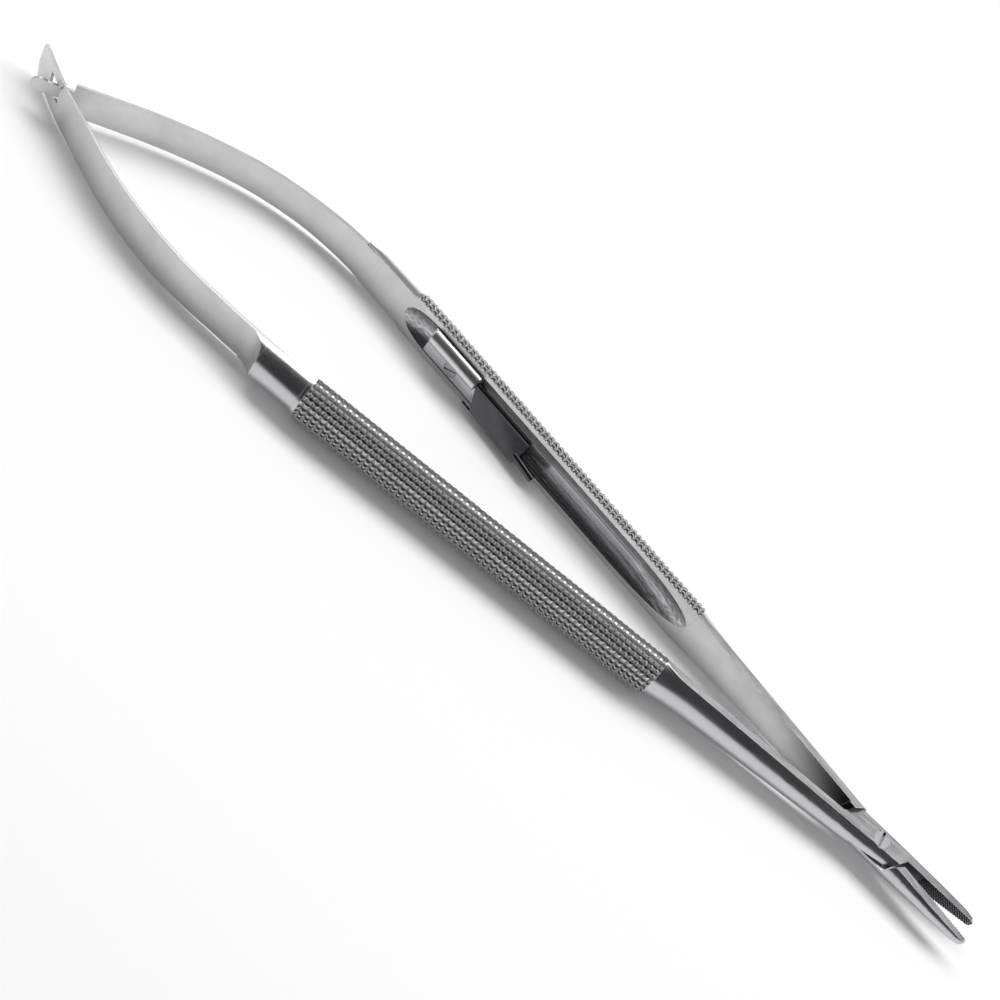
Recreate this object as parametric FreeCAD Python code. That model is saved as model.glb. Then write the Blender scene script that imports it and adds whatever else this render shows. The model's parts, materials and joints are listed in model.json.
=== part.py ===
import FreeCAD, Part
import math
import os

# Spring-handled locking needle holder, lying open on its side on the round handles.
# X runs from the tail to the jaw tips, Y is the way the handles open, Z is up.
# The shapes are made round the pivot's axis, and moved at the end so that the origin is
# at the middle of the length and width, on the surface that the instrument lies on.

os.makedirs("parts", exist_ok=True)
V = FreeCAD.Vector

# Cutting tools reach past what they cut, and pieces that are joined go into each other
REACH = 9.0
FAR = 60.0
OVERLAP = 1.0
ARC_STEPS = 6

# Pose
OPEN_ANGLE = 4.8
SHANK_SPLAY = 1.75
SWEEP_STEPS = 6

# Knurled handle
HANDLE_RADIUS = 4.0
KNURL_DEPTH = 0.42
KNURL_ROWS = 14
KNURL_CREST_SHARE = 0.34
KNURL_REAR = 101.2
KNURL_FRONT = 40.2
COLLAR_RADIUS = 3.75
COLLAR_LENGTH = 0.6
GRIP_END_RADIUS = 3.5
GRIP_END_REAR = 109.6
SCALLOP_RADIUS = 3.2
FLAT_GAP = 0.2

# Milled groove in each handle's flat
GROOVE_RADIUS = 3.6
GROOVE_DEPTH = 1.75
GROOVE_REAR = 102.0
GROOVE_FRONT = 39.6
GROOVE_REAR_RUNOUT = 7.0
GROOVE_FRONT_RUNOUT = 14.0

# Shank: distance behind the pivot, half height, flat strip, bulge of the round side
SHANK_NECK = (
    (40.2, 3.85, 0.55, 3.0),
    (38.6, 3.66, 0.85, 2.45),
    (36.6, 3.46, 1.05, 2.0),
    (33.5, 3.3, 1.05, 1.75),
)
SHANK_TAPER = ((33.5, 3.3, 1.05, 1.75), (-4.6, 1.77, 1.05, 0.95))

# Joint and jaws
JOINT_REAR = 5.9
JOINT_REAR_SLOPE = 47.0
JOINT_FRONT = 4.9
JOINT_FRONT_SLOPE = 51.0
LAP_GAP = 0.02
LAP_CLEARANCE = 0.12
LAP_BACK = 22.0
JAW_GAP = 0.02
JAW_RELIEF = 0.15
SERRATION_START = 8.4
SERRATION_END = 17.9
SERRATION_PITCH = 0.45
SERRATION_DEPTH = 0.13
# Jaw: distance ahead of the pivot, half height, flat strip, bulge of the round side
JAW_SECTIONS = (
    (-4.4, 2.13, 1.85, 0.9),
    (5.0, 1.75, 1.42, 0.8),
    (12.5, 1.17, 1.2, 0.5),
    (16.8, 0.84, 0.95, 0.32),
    (18.1, 0.66, 0.7, 0.2),
    (18.5, 0.4, 0.4, 0.1),
)

# Pivot screw
SCREW_HEAD_RADIUS = 1.3
SCREW_HEAD_DEPTH = 0.75
SCREW_RADIUS = 0.85
SCREW_CLEARANCE = 0.03
SCREW_SLOT = 0.4
SCREW_SUNK = 0.03

# Spring straps
STRAP_REACH = 4.0
STRAP_ROOT_THICKNESS = 0.6
STRAP_THICKNESS = 0.5
STRAP_THINNING = 16.0
STRAP_FLEX_GAP = 0.16
# Each strap leaves the flat a lead ahead of the grip's end, bends inwards through arcs of (radius, degrees),
# and ends straight. Its widths are (distance behind the grip's end, half width), and flex is how far along
# it the hinge is.
STRAP_A = {
    "lead": 5.6,
    "arcs": ((5.0, 4.2), (2000.0, 0.46), (63.4, 22.2), (2000.0, 0.27), (40.0, 6.0)),
    "end": 5.9,
    "widths": ((-5.6, 3.4), (7.4, 3.4), (18.4, 3.69), (37.4, 3.69), (48.4, 3.3), (60.4, 3.2)),
    "flex": 15.6,
}
STRAP_B = {
    "lead": 0.8,
    "arcs": ((50.0, 31.0), (86.0, 9.7)),
    "end": 14.0,
    "widths": ((-5.6, 3.4), (0.0, 3.4), (12.4, 3.05), (32.4, 3.0), (60.4, 2.75)),
    "flex": 3.6,
}
WINDOW_LENGTH = 3.3
WINDOW_LOW = -0.9
WINDOW_HIGH = 1.9
WINDOW_TAIL_RIM = 4.4
SPLIT_WIDTH = 0.25
SPLIT_SKEW = 1.4
TAIL_SKEW = 0.8
TAIL_SKEW_LOW = -0.8
TAIL_CORNER = 0.5
SHOULDER_SETBACK = 5.9
TONGUE_LOW = -0.5
TONGUE_HIGH = 1.6
HEAD_RADIUS = 1.32

# Latch block on arm B, measured from the flat of the handle
BLOCK_REAR = 96.3
BLOCK_FRONT = 86.4
BLOCK_LOW = -2.6
BLOCK_HIGH = 2.9
BLOCK_PROUD = 0.15
SEAT_CLEARANCE = 0.05
BARREL_RADIUS = 1.45
BARREL_HEIGHT = 1.45
BARREL_SETBACK = 0.4
BLOCK_FRONT_SKEW = 1.6
BLOCK_SKEW_TOP = 0.4
BLOCK_SCREW_BACK = 91.0
BLOCK_SCREW_HEIGHT = -1.3
LOCK_SCREW_HEAD_RADIUS = 1.15
LOCK_SCREW_HEAD_DEPTH = 0.6
LOCK_SCREW_RADIUS = 0.7
LOCK_SCREW_LENGTH = 2.9
LOCK_SCREW_SLOT = 0.3
LOCK_SCREW_TURN = 28.6

# Latch blade, hung from a rod in the block's barrel
ROD_RADIUS = 0.42
ROD_OUT = 0.1
ROD_HEIGHT = 1.1
ROD_REAR = 95.2
ROD_CLEARANCE = 0.05
BLADE_CLEARANCE = 0.25
BLADE_FRONT = 74.6
BLADE_THICKNESS = 0.45
BLADE_EDGE_OUT = (1.2, 1.95)
BLADE_EDGE_HEIGHT = -2.65
LATCH_PIN_RADIUS = 0.62
LATCH_PIN_REAR = 75.3
LATCH_PIN_FRONT = 70.8
LATCH_PIN_OUT = (1.3, 1.7)
LATCH_PIN_HEIGHT = (-1.6, -1.9)

# Keeper on arm A, measured from the flat of the handle
KEEPER_REAR = 73.6
KEEPER_HOOK_FRONT = 69.4
KEEPER_FOOT_REAR = 58.2
KEEPER_FOOT_FRONT = 49.2
KEEPER_LOW = -2.4
KEEPER_HIGH = 2.7
KEEPER_FOOT_PROUD = 1.1
KEEPER_BAR_SUNK = 0.5
HOOK_OUT = 3.8
HOOK_LIP = 0.4
HOOK_HIGH = 0.0
HOOK_LOW = -0.5
HOOK_LIP_REACH = 0.5
HOOK_ROOT = 0.8
KEEPER_SCREW_BACK = 53.7


def at(x, y, z):
    """A point, with Z measured from the middle of the instrument's height."""
    return V(x, y, z + HANDLE_RADIUS)


def prism_z(points, low, high):
    """A plan outline raised from one height to another."""
    wire = Part.makePolygon([at(x, y, low) for x, y in points] + [at(points[0][0], points[0][1], low)])
    return Part.Face(wire).extrude(V(0, 0, high - low))


def prism_y(points, y0, y1):
    """An (x, z) outline carried along Y."""
    wire = Part.makePolygon([at(x, y0, z) for x, z in points] + [at(points[0][0], y0, points[0][1])])
    return Part.Face(wire).extrude(V(0, y1 - y0, 0))


def prism_x(points, start, end):
    """A (y, z) section carried along X."""
    wire = Part.makePolygon([at(start, y, z) for y, z in points] + [at(start, points[0][0], points[0][1])])
    return Part.Face(wire).extrude(V(end - start, 0, 0))


def box(x0, x1, y0, y1, z0, z1):
    return Part.makeBox(x1 - x0, y1 - y0, z1 - z0, at(x0, y0, z0))


def turned(shape, degrees):
    """A copy turned about the pivot's axis."""
    copy = shape.copy()
    copy.rotate(V(0, 0, 0), V(0, 0, 1), degrees)
    return copy


def mirrored(shape):
    """The same shape on the other side of the middle plane."""
    return shape.mirror(V(0, 0, 0), V(0, 1, 0))


def cylinder_x(radius, start, end, y, z):
    return Part.makeCylinder(radius, end - start, at(start, y, z), V(1, 0, 0))


def section(x, base, side, half, strip, bulge):
    """A D-shaped wire: flat inside, short flats above and below, round outside."""
    edge = base + side * strip
    low_in, low_out = at(x, base, -half), at(x, edge, -half)
    high_in, high_out = at(x, base, half), at(x, edge, half)
    middle = at(x, edge + side * bulge, 0)
    edges = [
        Part.makeLine(low_in, low_out),
        Part.Arc(low_out, middle, high_out).toShape(),
        Part.makeLine(high_out, high_in),
        Part.makeLine(high_in, low_in),
    ]
    return Part.Wire(edges)


def knurled_bar():
    """The half-round grip, its ridges running lengthways."""
    root = HANDLE_RADIUS - KNURL_DEPTH
    pitch = 180.0 / KNURL_ROWS
    flank = (1 - KNURL_CREST_SHARE) / 2 * pitch
    crest = pitch / 2 - flank
    stops = [(HANDLE_RADIUS, -90.0)]
    for row in range(KNURL_ROWS):
        start = -90.0 + row * pitch
        stops.append((HANDLE_RADIUS, start + crest))
        stops.append((root, start + pitch / 2))
        stops.append((HANDLE_RADIUS, start + pitch - crest))
    stops.append((HANDLE_RADIUS, 90.0))
    points = [(FLAT_GAP + r * math.cos(math.radians(a)), r * math.sin(math.radians(a))) for r, a in stops]
    return prism_x(points, -KNURL_REAR, -KNURL_FRONT)


def half_round(radius, start, end):
    bar = cylinder_x(radius, start, end, FLAT_GAP, 0)
    return bar.common(box(start, end, FLAT_GAP, FLAT_GAP + radius, -radius, radius))


def scallop():
    """The rounded cut in which the grip's round end runs out into the strap."""
    centre_y = FLAT_GAP + STRAP_ROOT_THICKNESS + SCALLOP_RADIUS
    return Part.makeCylinder(SCALLOP_RADIUS, 2 * HANDLE_RADIUS, at(-GRIP_END_REAR, centre_y, -HANDLE_RADIUS))


def groove(grow=0.0):
    """The round-bottomed milled groove, with its ends running out; grow is negative for what seats in it."""
    radius = GROOVE_RADIUS + grow
    centre_y = FLAT_GAP + GROOVE_DEPTH - GROOVE_RADIUS
    rear = -(GROOVE_REAR - GROOVE_REAR_RUNOUT)
    front = -(GROOVE_FRONT + GROOVE_FRONT_RUNOUT)
    cutter = cylinder_x(radius, rear, front, centre_y, 0)
    for x, runout, way in ((rear, GROOVE_REAR_RUNOUT, 1), (front, GROOVE_FRONT_RUNOUT, -1)):
        sweep_radius = (runout ** 2 + GROOVE_DEPTH ** 2) / (2 * GROOVE_DEPTH) - GROOVE_RADIUS
        reach = math.degrees(math.asin(runout / (sweep_radius + GROOVE_RADIUS)))
        ring = Part.Circle(at(x, centre_y, 0), V(1, 0, 0), radius).toShape()
        face = Part.Face(Part.Wire([ring]))
        axis = at(x, centre_y - sweep_radius, 0)
        cutter = cutter.fuse(face.revolve(axis, V(0, 0, way), reach))
    return cutter


def shank():
    neck = [section(-back, FLAT_GAP, 1, half, strip, bulge) for back, half, strip, bulge in SHANK_NECK]
    taper = [section(-back, FLAT_GAP, 1, half, strip, bulge) for back, half, strip, bulge in SHANK_TAPER]
    return Part.makeLoft(neck, True, False), Part.makeLoft(taper, True, True)


def line_points(x, y, slope, y_end):
    """The far point of a wall line that leaves (x, y) at a slope in degrees."""
    return (x + (y_end - y) / math.tan(math.radians(slope)), y_end)


def front_wall():
    """Plan region ahead of the joint's front wall, on the shank's side."""
    far = line_points(JOINT_FRONT, 0, 180 - JOINT_FRONT_SLOPE, REACH)
    low = -JAW_GAP / 2
    return [(JOINT_FRONT, 0.0), (JOINT_FRONT, low), (FAR, low), (FAR, REACH), far]


def rear_wall():
    """Plan region behind the joint's rear wall, on the jaw's side."""
    start = (-JOINT_REAR, FLAT_GAP)
    far = line_points(start[0], start[1], -JOINT_REAR_SLOPE, -REACH)
    return [start, (-FAR, FLAT_GAP), (-FAR, -REACH), far]


def half_height(x):
    """Half height of the joint's flat top at a distance ahead of the pivot."""
    (back0, h0, _, _), (back1, h1, _, _) = SHANK_TAPER
    return h0 + (x + back0) * (h1 - h0) / (back0 - back1)


def joint_core():
    """The block in which the shank crosses over to the jaw."""
    (rear_x, _, rear_strip, _), (front_x, _, front_strip, _) = JAW_SECTIONS[:2]
    shank_edge = FLAT_GAP + SHANK_TAPER[0][2]
    back = -JOINT_REAR - OVERLAP
    outline = [(back, shank_edge), (back, FLAT_GAP), (rear_x, -rear_strip), (front_x, -front_strip),
               (front_x, -JAW_GAP), (JOINT_FRONT, shank_edge)]
    x0, x1 = back - OVERLAP, front_x + OVERLAP
    profile = [(x0, -half_height(x0)), (x1, -half_height(x1)), (x1, half_height(x1)), (x0, half_height(x0))]
    return prism_z(outline, -REACH, REACH).common(prism_y(profile, -REACH, REACH))


def jaw():
    """One jaw, with its gripping face on the middle plane when shut."""
    body = Part.makeLoft([section(x, -JAW_GAP, -1, h, w, b) for x, h, w, b in JAW_SECTIONS], True, True)
    relief = box(JAW_SECTIONS[1][0], SERRATION_START, -JAW_RELIEF, OVERLAP, -REACH, REACH)
    teeth = []
    count = int((SERRATION_END - SERRATION_START) / SERRATION_PITCH)
    for i in range(count):
        x = SERRATION_START + i * SERRATION_PITCH
        teeth += [(x, -JAW_GAP), (x + SERRATION_PITCH / 2, -JAW_GAP - SERRATION_DEPTH)]
    last = SERRATION_START + count * SERRATION_PITCH
    outline = [(SERRATION_START, OVERLAP)] + teeth + [(last, -JAW_GAP), (last, OVERLAP)]
    comb = prism_z(outline, -REACH, REACH)
    return body.cut(relief).cut(comb)


def arm_front():
    """Shank, joint and jaw in the shut pose, jaw face on the middle plane."""
    neck, taper = shank()
    wall = prism_z(front_wall(), -REACH, REACH)
    rear = prism_z(rear_wall(), -REACH, REACH)
    taper = turned(taper, -SHANK_SPLAY).cut(wall)
    neck = turned(neck, -SHANK_SPLAY)
    core = joint_core().cut(wall).cut(rear)
    return neck.fuse(taper).fuse(core).fuse(jaw().cut(rear))


def lap_outline():
    """Plan outline of one arm round the joint, in the shut pose, for cutting the other arm's lap."""
    (_, _, rear_strip, rear_bulge), (front_x, _, front_strip, front_bulge) = JAW_SECTIONS[:2]
    shank_side = FLAT_GAP + SHANK_TAPER[0][2] + SHANK_TAPER[0][3]
    jaw_side = -front_strip - front_bulge
    back = LAP_BACK + LAP_CLEARANCE
    splay = back * math.tan(math.radians(SHANK_SPLAY))
    wall_top = line_points(JOINT_FRONT, 0, 180 - JOINT_FRONT_SLOPE, shank_side)
    wall_low = line_points(-JOINT_REAR, FLAT_GAP, -JOINT_REAR_SLOPE, -rear_strip - rear_bulge)
    shank_side += splay
    return [(-back, FLAT_GAP + splay), (-JOINT_REAR, FLAT_GAP), wall_low, (front_x, jaw_side),
            (front_x + OVERLAP, jaw_side), (front_x + OVERLAP, 0.0), (JOINT_FRONT, 0.0), wall_top,
            (-back, shank_side)]


def lap_cut(upper):
    """What the other arm sweeps between shut and open, above or below the lap."""
    other = [(x, -y) for x, y in lap_outline()]
    low, high = (-LAP_GAP / 2, REACH) if upper else (-REACH, LAP_GAP / 2)
    wire = Part.makePolygon([at(x, y, low) for x, y in other] + [at(other[0][0], other[0][1], low)])
    face = Part.Face(wire).makeOffset2D(LAP_CLEARANCE, join=2)
    swept = None
    for step in range(SWEEP_STEPS + 1):
        piece = turned(face.extrude(V(0, 0, high - low)), 2 * OPEN_ANGLE * step / SWEEP_STEPS)
        swept = piece if swept is None else swept.fuse(piece)
    return swept.common(box(-LAP_BACK, JAW_SECTIONS[1][0], -REACH, REACH, -REACH, REACH))


def strap_line(spec, offset_at):
    """Rows of (path, x, y, heading) down a strap, from its root to its tail."""
    back, y, heading, path = GRIP_END_REAR - spec["lead"], FLAT_GAP, 0.0, 0.0
    stations = [(path, back, y, heading)]
    for radius, degrees in spec["arcs"]:
        start_back, start_y, start_heading, start_path = back, y, heading, path
        for i in range(1, ARC_STEPS + 1):
            heading = start_heading + math.radians(degrees) * i / ARC_STEPS
            back = start_back + radius * (math.sin(heading) - math.sin(start_heading))
            y = start_y - radius * (math.cos(start_heading) - math.cos(heading))
            path = start_path + radius * math.radians(degrees) * i / ARC_STEPS
            stations.append((path, back, y, heading))
    back += spec["end"] * math.cos(heading)
    y -= spec["end"] * math.sin(heading)
    stations.append((path + spec["end"], back, y, heading))
    rows = []
    for path, back, y, heading in stations:
        offset = offset_at(path)
        rows.append((path, -back - offset * math.sin(heading), y + offset * math.cos(heading), heading))
    return rows


def thickness_at(path):
    """The strap thins evenly from its root."""
    share = min(1.0, path / STRAP_THINNING)
    return STRAP_ROOT_THICKNESS + (STRAP_THICKNESS - STRAP_ROOT_THICKNESS) * share


def station(spec, path):
    """Point and heading on the strap's inner face at a path length."""
    rows = strap_line(spec, lambda p: 0.0)
    for first, second in zip(rows, rows[1:]):
        if first[0] <= path <= second[0]:
            t = (path - first[0]) / (second[0] - first[0])
            return [a + (b - a) * t for a, b in zip(first, second)]
    return rows[-1]


def strap_length(spec):
    return strap_line(spec, lambda p: 0.0)[-1][0]


def slab(start, end, low, high):
    """The outline of a slab, as (distance tailwards, height)."""
    return [(start, low), (end, low), (end, high), (start, high)]


def across_strap(spec, path, outline):
    """An outline of (distance tailwards, height) carried square through the strap at a path length."""
    _, x, y, heading = station(spec, path)
    points = [V(along, -FAR, z) for along, z in outline]
    prism = Part.Face(Part.makePolygon(points + points[:1])).extrude(V(0, 2 * FAR, 0))
    turn = FreeCAD.Rotation(V(0, 0, 1), 180 + math.degrees(heading))
    prism.Placement = FreeCAD.Placement(at(x, y, 0), turn)
    return prism


def strap(spec):
    """The whole strap as bent strip, with its width changing along its length."""
    inner = [(x, y) for _, x, y, _ in strap_line(spec, lambda p: 0.0)]
    outer = [(x, y) for _, x, y, _ in strap_line(spec, thickness_at)]
    sides = []
    for points in (inner, outer):
        curve = Part.BSplineCurve()
        curve.interpolate([at(x, y, -STRAP_REACH) for x, y in points])
        sides.append(curve.toShape())
    caps = [Part.makeLine(sides[0].Vertexes[i].Point, sides[1].Vertexes[i].Point) for i in (0, -1)]
    wire = Part.Wire(Part.__sortEdges__([sides[0], caps[0], sides[1], caps[1]]))
    strip = Part.Face(wire).extrude(V(0, 0, 2 * STRAP_REACH))
    low = [(-GRIP_END_REAR - back, -half) for back, half in spec["widths"]]
    high = [(-GRIP_END_REAR - back, half) for back, half in reversed(spec["widths"])]
    return strip.common(prism_y(low + high, -FAR, FAR))


def finish_window(body, spec):
    """The window that the other strap's tongue passes through, and the split that lets it in."""
    tail = strap_length(spec)
    front = tail - WINDOW_TAIL_RIM - WINDOW_LENGTH
    window = across_strap(spec, front, slab(0, WINDOW_LENGTH, WINDOW_LOW, WINDOW_HIGH))
    split = across_strap(spec, front, [(0, WINDOW_HIGH - SPLIT_WIDTH), (SPLIT_WIDTH, WINDOW_HIGH),
                                       (SPLIT_WIDTH - SPLIT_SKEW, STRAP_REACH), (-SPLIT_SKEW, STRAP_REACH)])
    end = [(OVERLAP, -STRAP_REACH), (OVERLAP, STRAP_REACH), (-TAIL_SKEW, STRAP_REACH), (0, TAIL_SKEW_LOW),
           (-TAIL_CORNER, -STRAP_REACH)]
    return body.cut(window).cut(split).cut(across_strap(spec, tail, end))


def finish_tongue(body, spec):
    """The narrow tongue and round head that hook through the window."""
    tail = strap_length(spec)
    above = across_strap(spec, tail, slab(-SHOULDER_SETBACK, OVERLAP, TONGUE_HIGH, REACH))
    below = across_strap(spec, tail, slab(-SHOULDER_SETBACK, OVERLAP, -REACH, TONGUE_LOW))
    tip = across_strap(spec, tail, slab(-HEAD_RADIUS, OVERLAP, -REACH, REACH))
    _, x, y, heading = station(spec, tail - HEAD_RADIUS)
    outward = V(-math.sin(heading), math.cos(heading), 0)
    head = Part.makeCylinder(HEAD_RADIUS, STRAP_THICKNESS, at(x, y, (TONGUE_LOW + TONGUE_HIGH) / 2), outward)
    return body.cut(above).cut(below).cut(tip).fuse(head)


def strap_parts(spec, finish):
    """The strap's fixed root and its flexing tail part."""
    whole = finish(strap(spec), spec)
    tail_side = across_strap(spec, spec["flex"], slab(STRAP_FLEX_GAP / 2, 2 * FAR, -REACH, REACH))
    root_side = across_strap(spec, spec["flex"], slab(-2 * FAR, -STRAP_FLEX_GAP / 2, -REACH, REACH))
    return whole.common(root_side), whole.common(tail_side)


def arm(upper_lap, spec, finish):
    """One arm in the shut pose, handle on the +Y side: (rigid arm, flexing strap)."""
    root, tail = strap_parts(spec, finish)
    grip = knurled_bar()
    collar = half_round(COLLAR_RADIUS, -KNURL_REAR - COLLAR_LENGTH, -KNURL_REAR)
    grip_end = half_round(GRIP_END_RADIUS, -GRIP_END_REAR, -KNURL_REAR - COLLAR_LENGTH)
    back = grip.fuse(collar).fuse(grip_end.cut(scallop())).cut(groove())
    back = turned(back.fuse(root), -SHANK_SPLAY)
    front = arm_front().cut(turned(groove(), -SHANK_SPLAY)).cut(lap_cut(not upper_lap))
    return back.fuse(front).removeSplitter(), turned(tail, -SHANK_SPLAY)


def slotted_screw(head_radius, head_depth, radius, length, slot, base, outward, slot_way):
    """A flush screw: its head face is at base and looks outward, and its slot is as deep as it is wide."""
    head = Part.makeCylinder(head_radius, head_depth, base - outward * head_depth, outward)
    shaft = Part.makeCylinder(radius, length, base - outward * length, outward)
    across = outward.cross(slot_way) * slot
    run = slot_way * 2 * REACH
    corner = base - slot_way * REACH - across * 0.5 - outward * slot
    corners = [corner, corner + run, corner + run + across, corner + across, corner]
    return head.fuse(shaft).cut(Part.Face(Part.makePolygon(corners)).extrude(outward * REACH))


def screw_hole(head_radius, head_depth, radius, length, base, outward):
    gap = SCREW_CLEARANCE
    deep = head_depth + gap
    head = Part.makeCylinder(head_radius + gap, deep + OVERLAP, base - outward * deep, outward)
    shaft = Part.makeCylinder(radius + gap, length + gap, base - outward * (length + gap), outward)
    return head.fuse(shaft)


LOCK_SCREW = (LOCK_SCREW_HEAD_RADIUS, LOCK_SCREW_HEAD_DEPTH, LOCK_SCREW_RADIUS, LOCK_SCREW_LENGTH)
INWARD = V(0, -1, 0)


def lock_screw(back, height, proud):
    """A screw that holds a lock piece in the groove, and the hole for it."""
    base = at(-back, FLAT_GAP - proud, height)
    turn = math.radians(LOCK_SCREW_TURN)
    screw = slotted_screw(*LOCK_SCREW, LOCK_SCREW_SLOT, base, INWARD, V(math.cos(turn), 0, math.sin(turn)))
    return screw, screw_hole(*LOCK_SCREW, base, INWARD)


def block_outline(front):
    """The block's side view, as (x, z), with its slanted front moved to a distance behind the pivot."""
    return [(-BLOCK_REAR, BLOCK_LOW), (-front + BLOCK_FRONT_SKEW, BLOCK_LOW), (-front, BLOCK_SKEW_TOP),
            (-front, BLOCK_HIGH), (-BLOCK_REAR, BLOCK_HIGH)]


def latch_block():
    """Block in arm B's groove, with the barrel that holds the blade's rod."""
    top = FLAT_GAP - BLOCK_PROUD
    outline = block_outline(BLOCK_FRONT)
    body = prism_y(outline, FLAT_GAP, FLAT_GAP + GROOVE_DEPTH).common(groove(-SEAT_CLEARANCE))
    body = body.fuse(prism_y(outline, top, FLAT_GAP))
    axis = FLAT_GAP - ROD_OUT
    barrel = cylinder_x(BARREL_RADIUS, -BLOCK_REAR + BARREL_SETBACK, -BLOCK_FRONT, axis, BARREL_HEIGHT)
    above = box(-BLOCK_REAR, -BLOCK_FRONT, -REACH, FLAT_GAP, -REACH, REACH)
    over = above.fuse(groove(-SEAT_CLEARANCE))
    body = body.fuse(barrel.common(over))
    bore_end = -ROD_REAR - ROD_CLEARANCE
    bore = cylinder_x(ROD_RADIUS + ROD_CLEARANCE, bore_end, -BLOCK_FRONT + OVERLAP, axis, ROD_HEIGHT)
    _, hole = lock_screw(BLOCK_SCREW_BACK, BLOCK_SCREW_HEIGHT, BLOCK_PROUD)
    return body.cut(bore).cut(hole)


def blade_section(x, edge_out):
    """The blade's cross section, from the rod down to its free edge."""
    y0, z0 = FLAT_GAP - ROD_OUT, ROD_HEIGHT
    y1, z1 = FLAT_GAP - edge_out, BLADE_EDGE_HEIGHT
    length = math.hypot(y1 - y0, z1 - z0)
    ny, nz = (z1 - z0) / length * BLADE_THICKNESS / 2, -(y1 - y0) / length * BLADE_THICKNESS / 2
    corners = [(y0 + ny, z0 + nz), (y1 + ny, z1 + nz), (y1 - ny, z1 - nz), (y0 - ny, z0 - nz)]
    return Part.makePolygon([at(x, y, z) for y, z in corners + corners[:1]])


def latch_blade():
    """Rod, blade and pin of the latch in one piece."""
    rod = cylinder_x(ROD_RADIUS, -ROD_REAR, -BLADE_FRONT, FLAT_GAP - ROD_OUT, ROD_HEIGHT)
    sections = [blade_section(x, out) for x, out in zip((-BLOCK_FRONT, -BLADE_FRONT), BLADE_EDGE_OUT)]
    blade = Part.makeLoft(sections, True, True)
    blade = blade.cut(prism_y(block_outline(BLOCK_FRONT - BLADE_CLEARANCE), -REACH, REACH))
    start = at(-LATCH_PIN_REAR, FLAT_GAP - LATCH_PIN_OUT[0], LATCH_PIN_HEIGHT[0])
    end = at(-LATCH_PIN_FRONT, FLAT_GAP - LATCH_PIN_OUT[1], LATCH_PIN_HEIGHT[1])
    pin = Part.makeCylinder(LATCH_PIN_RADIUS, (end - start).Length, start, end - start)
    return rod.fuse(blade).fuse(pin)


def keeper():
    """Foot, bar and hook that the latch pin catches on, built on the +Y side like the arm."""
    bottom = FLAT_GAP + GROOVE_DEPTH
    span = (-KEEPER_FOOT_REAR, -KEEPER_FOOT_FRONT)
    raised = box(*span, FLAT_GAP - KEEPER_FOOT_PROUD, FLAT_GAP, KEEPER_LOW, KEEPER_HIGH)
    foot = box(*span, FLAT_GAP, bottom, KEEPER_LOW, KEEPER_HIGH)
    bar_top = FLAT_GAP + KEEPER_BAR_SUNK
    bar = box(-KEEPER_REAR, -KEEPER_FOOT_REAR, bar_top, bottom, KEEPER_LOW, KEEPER_HIGH)
    tip = FLAT_GAP - HOOK_OUT
    root = FLAT_GAP + HOOK_ROOT
    outline = [(root, HOOK_LOW), (tip + HOOK_LIP, HOOK_LOW), (tip + HOOK_LIP, HOOK_LOW - HOOK_LIP_REACH),
               (tip, HOOK_LOW), (tip, HOOK_HIGH), (root, HOOK_HIGH)]
    hook = prism_x(outline, -KEEPER_REAR, -KEEPER_HOOK_FRONT)
    _, hole = lock_screw(KEEPER_SCREW_BACK, 0, KEEPER_FOOT_PROUD)
    return foot.fuse(bar).common(groove(-SEAT_CLEARANCE)).fuse(raised).fuse(hook).cut(hole)


def export_all(shapes):
    """Moves all pieces so that the origin is at the middle of the underside, and writes a file for each."""
    around = Part.makeCompound(list(shapes.values())).optimalBoundingBox(False, False)
    shift = V(-around.Center.x, -around.Center.y, -around.ZMin)
    for name, shape in shapes.items():
        shape.translate(shift)
        shape.exportStep("parts/%s.step" % name)


def build():
    open_turn = -OPEN_ANGLE
    lock_turn = -OPEN_ANGLE - SHANK_SPLAY
    arm_b, strap_b = arm(False, STRAP_B, finish_tongue)
    arm_a, strap_a = arm(True, STRAP_A, finish_window)

    screw_top = half_height(0) - SCREW_SUNK
    screw_base = at(0, 0, screw_top)
    pivot = (SCREW_HEAD_RADIUS, SCREW_HEAD_DEPTH, SCREW_RADIUS, 2 * screw_top)
    pivot_screw = slotted_screw(*pivot, SCREW_SLOT, screw_base, V(0, 0, 1), V(0, 1, 0))
    pivot_hole = screw_hole(*pivot, screw_base, V(0, 0, 1))

    block_screw, block_hole = lock_screw(BLOCK_SCREW_BACK, BLOCK_SCREW_HEIGHT, BLOCK_PROUD)
    keeper_screw, keeper_hole = lock_screw(KEEPER_SCREW_BACK, 0, KEEPER_FOOT_PROUD)
    arm_b = arm_b.cut(pivot_hole).cut(turned(block_hole, -SHANK_SPLAY))
    arm_a = arm_a.cut(pivot_hole).cut(turned(keeper_hole, -SHANK_SPLAY))

    export_all({
        "arm_b": turned(arm_b, open_turn),
        "strap_b": turned(strap_b, open_turn),
        "arm_a": mirrored(turned(arm_a, open_turn)),
        "strap_a": mirrored(turned(strap_a, open_turn)),
        "pivot_screw": pivot_screw,
        "latch_block": turned(latch_block(), lock_turn),
        "latch_blade": turned(latch_blade(), lock_turn),
        "latch_screw": turned(block_screw, lock_turn),
        "keeper": mirrored(turned(keeper(), lock_turn)),
        "keeper_screw": mirrored(turned(keeper_screw, lock_turn)),
    })


build()
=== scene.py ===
import json
import math

import bmesh
import bpy
from mathutils import Matrix, Vector


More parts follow.
